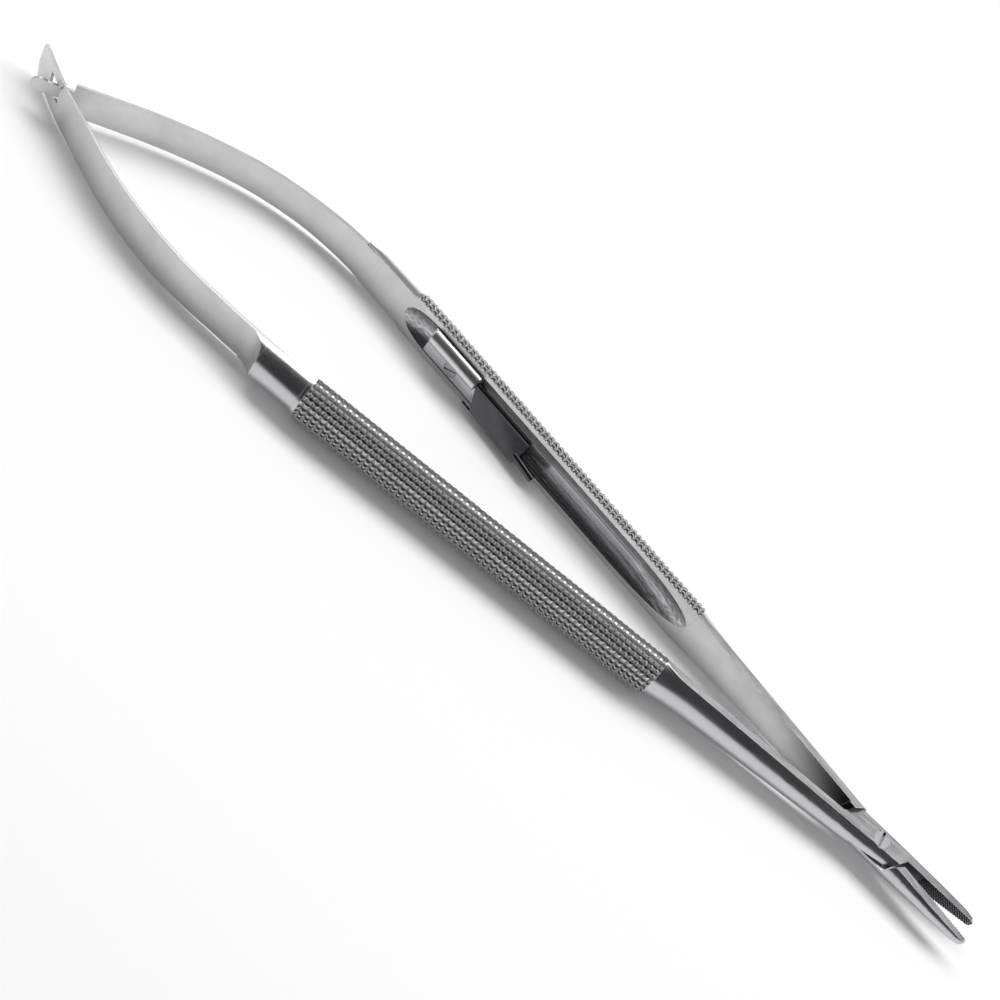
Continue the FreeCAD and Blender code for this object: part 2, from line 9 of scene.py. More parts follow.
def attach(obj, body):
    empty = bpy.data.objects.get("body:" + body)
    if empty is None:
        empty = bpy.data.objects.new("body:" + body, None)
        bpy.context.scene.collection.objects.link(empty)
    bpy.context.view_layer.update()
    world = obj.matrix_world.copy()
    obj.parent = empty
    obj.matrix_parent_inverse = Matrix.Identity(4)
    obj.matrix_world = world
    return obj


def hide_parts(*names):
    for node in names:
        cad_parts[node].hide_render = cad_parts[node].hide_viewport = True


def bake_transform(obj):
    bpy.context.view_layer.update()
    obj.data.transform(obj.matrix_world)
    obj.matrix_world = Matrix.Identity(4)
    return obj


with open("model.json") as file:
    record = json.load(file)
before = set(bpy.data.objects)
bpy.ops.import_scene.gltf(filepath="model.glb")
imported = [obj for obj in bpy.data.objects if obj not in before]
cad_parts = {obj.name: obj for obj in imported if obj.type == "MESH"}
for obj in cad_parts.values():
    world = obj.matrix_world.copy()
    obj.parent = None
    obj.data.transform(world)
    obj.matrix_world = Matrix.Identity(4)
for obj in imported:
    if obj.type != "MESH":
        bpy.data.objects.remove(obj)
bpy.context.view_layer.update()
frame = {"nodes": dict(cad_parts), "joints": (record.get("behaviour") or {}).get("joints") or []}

# Driving sizes in millimetres and degrees, as in the part's source; back is the distance behind the pivot
MM = 0.001
MIDDLE = 4.0
JAW_DEG = 4.8
SPLAY_DEG = 1.75
HANDLE_DEG = JAW_DEG + SPLAY_DEG
FLAT_GAP = 0.2

# Grip, collar and plain end
HANDLE_RADIUS = 4.0
KNURL_REAR = 101.2
KNURL_FRONT = 40.2
KNURL_ROWS = 14
KNURL_RINGS = 61
KNURL_DEPTH = 0.42
RING_DEPTH = 0.26
CREST_SHARE = 0.34
COLLAR_RADIUS = 3.75
COLLAR_REAR = 101.8
GRIP_END_RADIUS = 3.5
GRIP_END_TAPER = 0.05
GRIP_END_REAR = 109.6
SCALLOP_REAR = 112.4
SCALLOP_RADIUS = 3.2
SCALLOP_STEPS = 30
SCALLOP_FLOOR = 0.02
SIDE_POINTS = 16

# Milled groove in the grip's flat
GROOVE_RADIUS = 3.6
GROOVE_DEPTH = 1.75
GROOVE_REAR = 102.0
GROOVE_FRONT = KNURL_FRONT
GROOVE_REAR_RUNOUT = 7.0
GROOVE_FRONT_RUNOUT = 14.0
GROOVE_POINTS = 20

# Shank sections as (back, half height, side strip, bulge beyond the strip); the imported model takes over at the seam
SHANK_NECK = (
    (40.2, 3.85, 0.55, 3.0),
    (38.6, 3.66, 0.85, 2.45),
    (36.6, 3.46, 1.05, 2.0),
    (33.5, 3.3, 1.05, 1.75),
)
SHANK_END = (-4.6, 1.77, 1.05, 0.95)
NECK_STEPS = 8
ARC_POINTS = 28
SEAM = 24.0

# Joint and jaw: how far they reach from the pivot, and how squarely a face has to look to be of a kind
JOINT_SPAN = 7.5
JOINT_REAR = 5.0
JOINT_FRONT = 5.0
TEETH_START = 8.4
LEVEL_FACING = 0.97
BITE_FACING = 0.6
FLAT_FACING = 0.99
UPRIGHT_FACING = 0.03
LAP_FACING = (0.3, 0.95)
WELD_GAP = 0.0005
CUT_TOLERANCE = 1e-7
SHARP_DEG = 24.0

# Straps
STRAP_ROOT_THICKNESS = 0.6
STRAP_THICKNESS = 0.4
STRAP_THINNING = 30.0
STRAP_STEP = 1.0
STRAP_REACH = 4.0
STRAP_CUT_TOLERANCE = 1e-5

# A strap leaves the grip a lead ahead of its end and bends through arcs of (radius, degrees); its widths are
# (distance behind the grip's end, half width), it flexes about flex, and bend is the stretch that gives
STRAP_A = {
    "lead": 5.6,
    "arcs": ((5.0, 4.2), (2000.0, 0.46), (63.4, 22.2), (2000.0, 0.27), (40.0, 6.0)),
    "end": 5.9,
    "widths": ((-5.6, 3.4), (7.4, 3.4), (18.4, 3.69), (37.4, 3.69), (48.4, 3.3), (60.4, 3.2)),
    "flex": 15.6,
    "bend": (-4.0, 4.0),
}
STRAP_B = {
    "lead": 0.8,
    "arcs": ((50.0, 31.0), (86.0, 9.7)),
    "end": 14.0,
    "widths": ((-5.6, 3.4), (0.0, 3.4), (12.4, 3.05), (32.4, 3.0), (60.4, 2.75)),
    "flex": 3.6,
    "bend": (-2.4, 2.4),
}

# Window and slanted end of the near strap; a corner is (distance before the tail, distance in from the edge)
WINDOW_LENGTH = 3.3
WINDOW_LOW = -0.9
WINDOW_HIGH = 1.9
WINDOW_TAIL_RIM = 4.4
SPLIT_WIDTH = 0.25
SPLIT_SKEW = 1.4
TAIL_LOW_START = 1.0
TAIL_LOW_CORNERS = ((0.55, 0.15), (0.36, 0.5))
TAIL_POINT_HEIGHT = -0.8
TAIL_HIGH_CORNER = (0.62, 0.35)
TAIL_HIGH_START = 0.9

# Tongue of the far strap
SHOULDER_SETBACK = 5.9
TONGUE_LOW = -0.5
TONGUE_HIGH = 1.6
HEAD_RADIUS = 1.32

PIVOT = next(joint for joint in frame["joints"] if joint["name"] == "pivot")["pos_m"][0] / MM

# Camera, measured round the pivot: what it aims at, how far off, and how it is turned
CAMERA_TARGET = (-71.82, -1.92, 4.0)
CAMERA_DISTANCE = 184.96
CAMERA_AZIMUTH = 0.045
CAMERA_ELEVATION = 50.346
CAMERA_ROLL = 43.755
CAMERA_LENS = 47.28
CAMERA_SENSOR = 36.0
CAMERA_CLIP = (0.005, 10.0)

# Studio, in metres, watts and degrees; a card is (first angle, last angle, shade)
FLOOR_REACH = 2.0
FLOOR_CLEAR = (0.14, 0.4)
CARD_RADIUS = 0.75
CARD_WIDTH = 0.9
CARD_STEPS = 24
FRONT_CARD = (2.0, 99.0, (0.035, 0.035, 0.038))
BACK_CARD = (127.0, 178.0, (0.5, 0.5, 0.51))
WORLD_POWER = 0.44
LAMP_SIZE = (1.2, 0.26)
LAMP_POWER = 4.1
LAMP_PLACE = (0.0, 0.21, 0.56)

# Steels: brush lines as scales along and across, and the painted shade of edges and of valleys between teeth
BRUSH = (60.0, 2500.0, 2500.0)
GROOVE_BRUSH = (12.0, 6000.0, 6000.0)
EDGE_SHADE = (0.05, 0.05, 0.055)
VALLEY_SHADE = (0.02, 0.02, 0.022)
BEVEL_SAMPLES = 4
TOOTH_PITCH = 0.45
# The flats darken towards the joint: painted shade for the dark reflection of the other arm there, as (start, end,
# colour) along the length in millimetres
FLAT_PAINTED_SHADE = (PIVOT - 19.0, PIVOT - 6.0, (0.05, 0.05, 0.05))

# Places in an arm's and in a strap's list of materials
ROUND, FLAT, GROOVE, STRIP, CUT, TEETH, KNURL, TOP, OPEN = range(9)
FACE, WALL = range(2)

# The strips of a ring across the grip's flat side, and round a plain section; UNCUT clips nothing off
LANDS = [FLAT] + [GROOVE] * GROOVE_POINTS + [FLAT]
DISC_KINDS = [ROUND] * SIDE_POINTS + [FLAT] * SIDE_POINTS + [ROUND] * SIDE_POINTS + LANDS
UNCUT = HANDLE_RADIUS * 2


def place(side, back, out, height):
    """A point beside an arm's flat, in the row frame in metres; side is 1 for the far arm, -1 for the near."""
    turn = math.radians(HANDLE_DEG)
    x = -back * math.cos(turn) + out * math.sin(turn)
    y = back * math.sin(turn) + out * math.cos(turn)
    return Vector((x + PIVOT, side * y, height + MIDDLE)) * MM


def lerp_rows(rows, value):
    """Straight-line interpolation in rows whose first entries rise."""
    if value <= rows[0][0]:
        return rows[0][1:]
    for low, high in zip(rows, rows[1:]):
        if value <= high[0]:
            share = (value - low[0]) / (high[0] - low[0])
            return tuple(a + (b - a) * share for a, b in zip(low[1:], high[1:]))
    return rows[-1][1:]


def smooth_rows(rows, steps):
    """Rows put between the given ones along a smooth curve."""
    found = []
    for i, (low, high) in enumerate(zip(rows, rows[1:])):
        before, after = rows[max(i - 1, 0)], rows[min(i + 2, len(rows) - 1)]
        span = high[0] - low[0]
        for k in range(steps):
            t = k / steps
            row = [low[0] + span * t]
            for j in range(1, len(low)):
                rise = (high[j] - before[j]) / (high[0] - before[0]) * span
                fall = (after[j] - low[j]) / (after[0] - low[0]) * span
                row.append((2 * t ** 3 - 3 * t ** 2 + 1) * low[j] + (t ** 3 - 2 * t ** 2 + t) * rise
                           + (3 * t ** 2 - 2 * t ** 3) * high[j] + (t ** 3 - t ** 2) * fall)
            found.append(tuple(row))
    return found + [rows[-1]]


def knurl_stops(start, end, count):
    """Pairs of (place, share of the depth) at crest edges and valleys, with a crest at each end."""
    pitch = (end - start) / count
    crest = CREST_SHARE / 2 * pitch
    stops = [(start, 0.0)]
    for i in range(count):
        low = start + i * pitch
        stops += [(low + crest, 0.0), (low + pitch / 2, 1.0), (low + pitch - crest, 0.0)]
    return stops + [(end, 0.0)]


def groove_arc(back):
    """Points across the milled groove at a station; they close up on the flat past its ends."""
    into, runout = 0.0, 1.0
    if back > GROOVE_REAR - GROOVE_REAR_RUNOUT:
        into, runout = back - (GROOVE_REAR - GROOVE_REAR_RUNOUT), GROOVE_REAR_RUNOUT
    elif back < GROOVE_FRONT + GROOVE_FRONT_RUNOUT:
        into, runout = GROOVE_FRONT + GROOVE_FRONT_RUNOUT - back, GROOVE_FRONT_RUNOUT
    sweep = (runout ** 2 + GROOVE_DEPTH ** 2) / (2 * GROOVE_DEPTH)
    depth = GROOVE_DEPTH - sweep + math.sqrt(sweep ** 2 - into ** 2) if into < runout else 0.0
    half = math.sqrt(GROOVE_RADIUS ** 2 - (GROOVE_RADIUS - depth) ** 2)
    centre = FLAT_GAP + depth - GROOVE_RADIUS
    heights = [half * math.cos(math.pi * i / GROOVE_POINTS) for i in range(GROOVE_POINTS + 1)]
    return [(centre + math.sqrt(GROOVE_RADIUS ** 2 - h ** 2), h, 0.0) for h in heights]


def cell_depths(rings, i, j, k):
    """The depths at the four corners of a cell."""
    return [rings[i][1][j][2], rings[i][1][k][2], rings[i + 1][1][k][2], rings[i + 1][1][j][2]]


def loft(bm, side, rings, kinds, cap=ROUND):
    """A solid through rings of (back, [(out, height, depth)]); kinds gives the material of each strip."""
    made = []
    for back, ring in rings:
        made.append([bm.verts.new(place(side, back, out, height)) for out, height, _ in ring])
    count = len(kinds)
    for i in range(len(made) - 1):
        for j in range(count):
            k = (j + 1) % count
            a, b, c, d = made[i][j], made[i][k], made[i + 1][k], made[i + 1][j]
            # A knurl cell is split from its crest to its valley
            depths = cell_depths(rings, i, j, k)
            if abs(depths[0] - depths[2]) >= abs(depths[1] - depths[3]):
                corners = ((a, b, c), (a, c, d))
            else:
                corners = ((a, b, d), (b, c, d))
            # Crests take the lighter TOP steel; the rest of the knurl keeps the darker one, painted shade in its
            # valleys
            kind = TOP if kinds[j] == KNURL and max(depths) == 0.0 else kinds[j]
            for three in corners:
                bm.faces.new(three).material_index = kind
    for ring in (made[0], made[-1]):
        bm.faces.new(ring).material_index = cap


def disc_ring(back, radius, clip, bulge=None):
    """Half a disc behind the flat, flattened to bulge and cut off level at clip, with its corners on the cut."""
    bulge = bulge or radius
    level = min(1.0, (clip - FLAT_GAP) / bulge)
    edge = math.acos(level)
    side_angles = [-math.pi / 2 + (math.pi / 2 - edge) * i / SIDE_POINTS for i in range(SIDE_POINTS + 1)]
    chord = [(clip, radius * math.sin(edge) * (2 * i / SIDE_POINTS - 1), 0.0) for i in range(1, SIDE_POINTS)]
    low = [(FLAT_GAP + bulge * math.cos(a), radius * math.sin(a), 0.0) for a in side_angles]
    if edge == 0.0:
        chord = [low[-1]] * len(chord)
    high = [(out, -height, 0.0) for out, height, _ in reversed(low)]
    return back, low + chord + high + groove_arc(back)


def knurled_grip(bm, side):
    """The knurled bar with its milled groove."""
    rows = knurl_stops(-90.0, 90.0, KNURL_ROWS)
    rings = []
    for back, ring_share in knurl_stops(KNURL_FRONT, KNURL_REAR, KNURL_RINGS):
        outer = []
        for degrees, row_share in rows:
            ring_depth = RING_DEPTH * ring_share if abs(degrees) < 90.0 else 0.0
            depth = max(KNURL_DEPTH * row_share, ring_depth)
            radius = HANDLE_RADIUS - depth
            angle = math.radians(degrees)
            outer.append((FLAT_GAP + radius * math.cos(angle), radius * math.sin(angle), depth))
        rings.append((back, outer + groove_arc(back)))
    loft(bm, side, rings, [KNURL] * (len(rows) - 1) + LANDS)


def collar(bm, side):
    """The short step behind the knurl."""
    rings = [disc_ring(back, COLLAR_RADIUS, UNCUT) for back in (KNURL_REAR, COLLAR_REAR)]
    loft(bm, side, rings, DISC_KINDS)


def plain_end(bm, side, spec):
    """The plain round end, scooped down to the strap's outer face."""
    _, out, heading = station(spec, spec["lead"])
    level = out - (SCALLOP_REAR - GRIP_END_REAR) * math.tan(heading) + STRAP_ROOT_THICKNESS
    centre = max(level, FLAT_GAP + SCALLOP_FLOOR) + SCALLOP_RADIUS
    start = SCALLOP_REAR - SCALLOP_RADIUS
    stations = [COLLAR_REAR, GROOVE_REAR, start]
    for i in range(1, SCALLOP_STEPS + 1):
        stations.append(start + SCALLOP_RADIUS * (1 - math.cos(math.pi / 2 * i / SCALLOP_STEPS)))
    rings = []
    for back in stations:
        reach = SCALLOP_REAR - back
        drop = math.sqrt(max(0.0, SCALLOP_RADIUS ** 2 - reach ** 2))
        clip = centre - drop if back > start else UNCUT
        bulge = GRIP_END_RADIUS - GRIP_END_TAPER * (back - COLLAR_REAR)
        rings.append(disc_ring(back, GRIP_END_RADIUS, clip, bulge))
    loft(bm, side, rings, DISC_KINDS)


def shank(bm, side):
    """The neck and the taper, as far as the joint."""
    low, high = SHANK_NECK[-1], SHANK_END
    share = (low[0] - SEAM) / (low[0] - high[0])
    last = (SEAM,) + tuple(a + (b - a) * share for a, b in zip(low[1:], high[1:]))
    rows = smooth_rows([(-r[0],) + r[1:] for r in SHANK_NECK], NECK_STEPS)
    rings = []
    for x, half, strip, bulge in rows + [(-last[0],) + last[1:]]:
        radius = (half ** 2 + bulge ** 2) / (2 * bulge)
        centre = FLAT_GAP + strip + bulge - radius
        reach = math.asin(half / radius)
        if bulge > radius:
            reach = math.pi - reach
        angles = [reach * (2 * i / ARC_POINTS - 1) for i in range(ARC_POINTS + 1)]
        arc = [(centre + radius * math.cos(a), radius * math.sin(a), 0.0) for a in angles]
        rings.append((-x, [(FLAT_GAP, -half, 0.0)] + arc + [(FLAT_GAP, half, 0.0)]))
    loft(bm, side, rings, [STRIP] + [ROUND] * ARC_POINTS + [STRIP, FLAT], cap=OPEN)


def joint_and_jaw(bm, side, node):
    """The rest of the arm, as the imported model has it, with a material for each kind of face."""
    start = len(bm.faces)
    bm.from_mesh(frame["nodes"][node].data)
    bm.faces.ensure_lookup_table()
    faces = bm.faces[start:]
    verts = list({v for f in faces for v in f.verts})
    bmesh.ops.remove_doubles(bm, verts=verts, dist=WELD_GAP * MM)
    bm.faces.ensure_lookup_table()
    faces = bm.faces[start:]
    along = (place(side, 0, 0, 0) - place(side, 1, 0, 0)).normalized()
    edges = list({e for f in faces for e in f.edges})
    verts = list({v for f in faces for v in f.verts})
    bmesh.ops.bisect_plane(bm, geom=faces + edges + verts, dist=CUT_TOLERANCE, clear_inner=True,
                           plane_co=place(side, SEAM, 0, 0), plane_no=along)
    bm.faces.ensure_lookup_table()
    bm.normal_update()
    inward = (place(side, 0, 0, 0) - place(side, 0, 1, 0)).normalized()
    jaw_turn = math.radians(JAW_DEG)
    bite = Vector((math.sin(jaw_turn), side * math.cos(jaw_turn), 0.0))
    least, most = LAP_FACING
    for face in bm.faces[start:]:
        ahead = face.calc_center_median().x / MM - PIVOT
        facing = face.normal.dot(inward)
        upright = abs(face.normal.z) < UPRIGHT_FACING
        if abs(face.normal.z) > LEVEL_FACING:
            face.material_index = STRIP
        elif ahead > JOINT_FRONT and face.normal.dot(bite) > BITE_FACING:
            face.material_index = TEETH if ahead > TEETH_START else CUT
        elif ahead < -JOINT_REAR and facing > FLAT_FACING:
            face.material_index = FLAT
        elif abs(ahead) < JOINT_SPAN and upright and least < abs(facing) < most:
            face.material_index = CUT
        else:
            face.material_index = ROUND


def finish_mesh(bm, name, materials):
    """Turns the working mesh into an object, smooth except at edges and where one kind of face meets another."""
    bmesh.ops.recalc_face_normals(bm, faces=bm.faces)
    hidden = [face for face in bm.faces if face.material_index == OPEN]
    bmesh.ops.delete(bm, geom=hidden, context="FACES_ONLY")
    for face in bm.faces:
        face.smooth = True
    for edge in bm.edges:
        kinds = {face.material_index for face in edge.link_faces}
        edge.smooth = len(kinds) == 1 and edge.calc_face_angle(0.0) < math.radians(SHARP_DEG)
    mesh = bpy.data.meshes.new(name)
    bm.to_mesh(mesh)
    bm.free()
    for material in materials:
        mesh.materials.append(material)
    piece = bpy.data.objects.new(name, mesh)
    bpy.context.scene.collection.objects.link(piece)
    return piece


def make_arm(name, node, body, side, spec, materials):
    """A whole arm, from the jaw to the plain end that holds the strap."""
    bm = bmesh.new()
    joint_and_jaw(bm, side, node)
    shank(bm, side)
    knurled_grip(bm, side)
    collar(bm, side)
    plain_end(bm, side, spec)
    bmesh.ops.dissolve_degenerate(bm, dist=1e-8, edges=bm.edges)
    piece = finish_mesh(bm, name, materials)
    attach(piece, body)
    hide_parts(node)


def station(spec, path):
    """Where a strap's inner face is at a path length, as (back, out, heading)."""
    back, out, heading = GRIP_END_REAR - spec["lead"], FLAT_GAP, 0.0
    for radius, degrees in spec["arcs"]:
        step = min(path, radius * math.radians(degrees))
        after = heading + step / radius
        back += radius * (math.sin(after) - math.sin(heading))
        out -= radius * (math.cos(heading) - math.cos(after))
        heading = after
        path -= step
    return back + path * math.cos(heading), out - path * math.sin(heading), heading


def strap_length(spec):
    """The length of a strap along its bends."""
    return sum(radius * math.radians(degrees) for radius, degrees in spec["arcs"]) + spec["end"]


def half_width(spec, path):
    """Half of a strap's width at a path length."""
    return lerp_rows(spec["widths"], station(spec, path)[0] - GRIP_END_REAR)[0]


def edge_points(spec, start, end, sign):
    """Points (path, height) down one long edge of a strap."""
    steps = max(1, round(abs(end - start)))
    paths = [start + (end - start) * i / steps for i in range(steps + 1)]
    return [(path, sign * half_width(spec, path)) for path in paths]


def window_outline(spec):
    """The strap with the window, its slanted split and its slanted end, as one outline."""
    tail = strap_length(spec)
    half = half_width(spec, tail)
    front = tail - WINDOW_TAIL_RIM - WINDOW_LENGTH
    rear = front + WINDOW_LENGTH
    rim = half_width(spec, front)

    def split_top(path, height):
        share = (rim - height) / (STRAP_REACH - height)
        return path - SPLIT_SKEW * share

    top_rear = split_top(front + SPLIT_WIDTH, WINDOW_HIGH)
    top_front = split_top(front, WINDOW_HIGH - SPLIT_WIDTH)
    end = [(tail - before, inward - half) for before, inward in TAIL_LOW_CORNERS]
    end += [(tail, TAIL_POINT_HEIGHT), (tail - TAIL_HIGH_CORNER[0], half - TAIL_HIGH_CORNER[1])]
    window = [
        (front + SPLIT_WIDTH, WINDOW_HIGH), (rear, WINDOW_HIGH), (rear, WINDOW_LOW), (front, WINDOW_LOW),
        (front, WINDOW_HIGH - SPLIT_WIDTH),
    ]
    lower = edge_points(spec, 0.0, tail - TAIL_LOW_START, -1)
    rim_edge = edge_points(spec, tail - TAIL_HIGH_START, top_rear, 1)
    return lower + end + rim_edge + window + edge_points(spec, top_front, 0.0, 1)


def tongue_outline(spec):
    """The strap with the narrow tongue and its round head."""
    tail = strap_length(spec)
    shoulder = tail - SHOULDER_SETBACK
    middle, half = (TONGUE_LOW + TONGUE_HIGH) / 2, (TONGUE_HIGH - TONGUE_LOW) / 2
    reach = math.pi - math.asin(half / HEAD_RADIUS)
    angles = [reach * (2 * i / ARC_POINTS - 1) for i in range(ARC_POINTS + 1)]
    centre = tail - HEAD_RADIUS
    head = [(centre + HEAD_RADIUS * math.cos(a), middle + HEAD_RADIUS * math.sin(a)) for a in angles]
    tongue = [(shoulder, TONGUE_LOW)] + head + [(shoulder, TONGUE_HIGH)]
    return edge_points(spec, 0.0, shoulder, -1) + tongue + edge_points(spec, shoulder, 0.0, 1)


def make_strap(name, node, side, spec, outline, materials):
    """A strap cut from flat strip to its outline, and bent along its line."""
    bm = bmesh.new()
    bm.faces.new([bm.verts.new((u, v, 0.0)) for u, v in outline])
    bm.normal_update()
    bmesh.ops.triangulate(bm, faces=bm.faces, ngon_method="EAR_CLIP")
    cuts = int(strap_length(spec) / STRAP_STEP)
    for i in range(1, cuts):
        geometry = bm.verts[:] + bm.edges[:] + bm.faces[:]
        bmesh.ops.bisect_plane(bm, geom=geometry, dist=STRAP_CUT_TOLERANCE, plane_co=(i * STRAP_STEP, 0, 0),
                               plane_no=(1, 0, 0))
    grown = bmesh.ops.extrude_face_region(bm, geom=bm.faces[:])
    for item in grown["geom"]:
        if isinstance(item, bmesh.types.BMVert):
            item.co.z = 1.0
    for face in bm.faces:
        layers = {round(vert.co.z) for vert in face.verts}
        face.material_index = FACE if len(layers) == 1 else WALL
    for vert in bm.verts:
        path, height, layer = vert.co
        back, out, heading = station(spec, path)
        share = min(1.0, path / STRAP_THINNING)
        offset = layer * (STRAP_ROOT_THICKNESS + (STRAP_THICKNESS - STRAP_ROOT_THICKNESS) * share)
        vert.co = place(side, back + offset * math.sin(heading), out + offset * math.cos(heading), height)
    piece = finish_mesh(bm, name, materials)
    ends = [place(side, *station(spec, spec["flex"] + reach)[:2], 0.0) for reach in spec["bend"]]
    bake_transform(piece)
    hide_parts(node)


class Nodes:
    """A short way to write a node tree."""

    def __init__(self, tree):
        self.tree = tree
        tree.nodes.clear()

    def add(self, kind, **settings):
        node = self.tree.nodes.new(kind)
        for key, value in settings.items():
            setattr(node, key, value)
        return node

    def set(self, node, socket, value):
        if isinstance(value, bpy.types.NodeSocket):
            self.tree.links.new(value, node.inputs[socket])
        else:
            node.inputs[socket].default_value = value

    def noise(self, vector, scale, detail=2.0, roughness=0.5):
        node = self.add("ShaderNodeTexNoise")
        values = {"Vector": vector, "Scale": scale, "Detail": detail, "Roughness": roughness}
        for socket, value in values.items():
            self.set(node, socket, value)
        return node.outputs["Fac"]

    def map_range(self, value, low, high, to_low, to_high):
        node = self.add("ShaderNodeMapRange")
        values = {"Value": value, "From Min": low, "From Max": high, "To Min": to_low, "To Max": to_high}
        for socket, number in values.items():
            self.set(node, socket, number)
        return node.outputs["Result"]

    def math(self, operation, first, second=0.0):
        node = self.add("ShaderNodeMath", operation=operation)
        self.set(node, 0, first)
        self.set(node, 1, second)
        return node.outputs[0]

    def stretch(self, vector, scale, turn):
        node = self.add("ShaderNodeMapping", vector_type="TEXTURE")
        inverse = tuple(1 / s for s in scale)
        for socket, value in (("Vector", vector), ("Rotation", (0.0, 0.0, turn)), ("Scale", inverse)):
            self.set(node, socket, value)
        return node.outputs["Vector"]


def mix(n, share, first, second):
    """A blend of two colours."""
    node = n.add("ShaderNodeMix", data_type="RGBA")
    sockets = [s for s in node.inputs if s.type == "RGBA"]
    n.set(node, "Factor", share)
    for socket, value in zip(sockets, (first, second)):
        if isinstance(value, bpy.types.NodeSocket):
            n.tree.links.new(value, socket)
        else:
            socket.default_value = (*value, 1.0)
    return next(s for s in node.outputs if s.type == "RGBA")


def steel(name, colour, roughness, edge=0.35, brush=BRUSH, turn=0.0, streaks=0.0, smudge=0.08, spread=0.05,
          painted_shade=None, hatch=0.0, rounding=0.09):
    """Steel with fine brush lines, uneven polish and handling smudges, with painted shade darkening its thin edges
    and, where asked, the valleys of teeth and a stretch along its length.
    """
    material = bpy.data.materials.new(name)
    material.use_nodes = True
    n = Nodes(material.node_tree)
    spot = n.add("ShaderNodeTexCoord").outputs["Object"]
    lines = n.noise(n.stretch(spot, brush, turn), 1.0, 3.0, 0.6)
    cloud = n.noise(spot, 260.0, 4.0, 0.6)
    stain = n.noise(spot, 110.0, 3.0, 0.55)
    tint = mix(n, n.map_range(cloud, 0.35, 0.65, 0.0, smudge), colour, tuple(c * 0.55 for c in colour))
    tint = mix(n, n.map_range(stain, 0.58, 0.72, 0.0, smudge * 1.5), tint, tuple(c * 0.6 for c in colour))
    if streaks:
        tint = mix(n, n.map_range(lines, 0.44, 0.58, 0.0, streaks), tint, tuple(c * 0.35 for c in colour))
    # Painted shade in the valleys of the teeth
    if hatch:
        tint = mix(n, painted_teeth_shade(n, spot, hatch), tint, VALLEY_SHADE)
    # Painted shade: the colour darkens towards the given colour along the object's X between two places
    if painted_shade:
        along = n.add("ShaderNodeSeparateXYZ")
        n.set(along, "Vector", spot)
        start, end, dark = painted_shade
        tint = mix(n, n.map_range(along.outputs["X"], start * MM, end * MM, 0.0, 1.0), tint, dark)
    # Painted shade along thin edges: where the bevel normal turns away from the surface's normal, the colour darkens
    # towards EDGE_SHADE by up to edge
    bevel = n.add("ShaderNodeBevel", samples=BEVEL_SAMPLES)
    n.set(bevel, "Radius", rounding * MM)
    facing = n.add("ShaderNodeVectorMath", operation="DOT_PRODUCT")
    n.set(facing, 0, bevel.outputs["Normal"])
    n.set(facing, 1, n.add("ShaderNodeNewGeometry").outputs["Normal"])
    rim = n.map_range(facing.outputs["Value"], 0.80, 0.985, edge, 0.0)
    shader = n.add("ShaderNodeBsdfPrincipled")
    n.set(shader, "Base Color", mix(n, rim, tint, EDGE_SHADE))
    n.set(shader, "Metallic", 1.0)
    brushed = n.map_range(lines, 0.3, 0.7, -spread, spread)
    uneven = n.math("ADD", brushed, n.map_range(cloud, 0.3, 0.7, -0.02, 0.03))
    n.set(shader, "Roughness", n.math("ADD", uneven, roughness))
    bump = n.add("ShaderNodeBump")
    n.set(bump, "Height", lines)
    n.set(bump, "Strength", 0.04)
    n.set(bump, "Distance", 0.05 * MM)
    n.set(bump, "Normal", bevel.outputs["Normal"])
    n.set(shader, "Normal", bump.outputs["Normal"])
    n.set(n.add("ShaderNodeOutputMaterial"), "Surface", shader.outputs[0])
    return material


def painted_teeth_shade(n, spot, pitch):
    """Painted shade in the valleys of two crossing sets of fine teeth."""
    sets = []
    for slant in (1.0, -1.0):
        parts = n.add("ShaderNodeSeparateXYZ")
        n.set(parts, "Vector", spot)
        across = n.math("ADD", parts.outputs["X"], n.math("MULTIPLY", parts.outputs["Z"], slant))
        wave = n.math("SINE", n.math("MULTIPLY", across, 2 * math.pi / (pitch * MM)))
        sets.append(n.map_range(wave, -0.2, 0.4, 1.0, 0.0))
    return n.math("MAXIMUM", *sets)


def shown_rays(n):
    """1 for rays that show what is behind or around, 0 for those that only bring light."""
    ray = n.add("ShaderNodeLightPath")
    shown = n.math("MAXIMUM", ray.outputs["Is Camera Ray"], ray.outputs["Is Glossy Ray"])
    return n.math("MAXIMUM", shown, ray.outputs["Is Transmission Ray"])


def plain(name, colour, roughness, clear=None):
    """An even painted surface with a faint cloud in it, which may turn into the white backdrop far out."""
    material = bpy.data.materials.new(name)
    material.use_nodes = True
    n = Nodes(material.node_tree)
    shader = n.add("ShaderNodeBsdfPrincipled")
    cloud = n.noise(n.add("ShaderNodeTexCoord").outputs["Object"], 3.0)
    n.set(shader, "Base Color", mix(n, n.map_range(cloud, 0.3, 0.7, 0.0, 0.02), colour, (1.0, 1.0, 1.0)))
    n.set(shader, "Roughness", roughness)
    surface = shader.outputs[0]
    if clear:
        distance = n.add("ShaderNodeVectorMath", operation="LENGTH")
        n.set(distance, 0, n.add("ShaderNodeTexCoord").outputs["Object"])
        white = n.add("ShaderNodeEmission")
        n.set(white, "Color", (1.0, 1.0, 1.0, 1.0))
        either = n.add("ShaderNodeMixShader")
        far = n.map_range(distance.outputs["Value"], *clear, 0.0, 1.0)
        n.set(either, "Fac", n.math("MULTIPLY", far, shown_rays(n)))
        n.set(either, 1, surface)
        n.set(either, 2, white.outputs[0])
        surface = either.outputs[0]
    n.set(n.add("ShaderNodeOutputMaterial"), "Surface", surface)
    return material


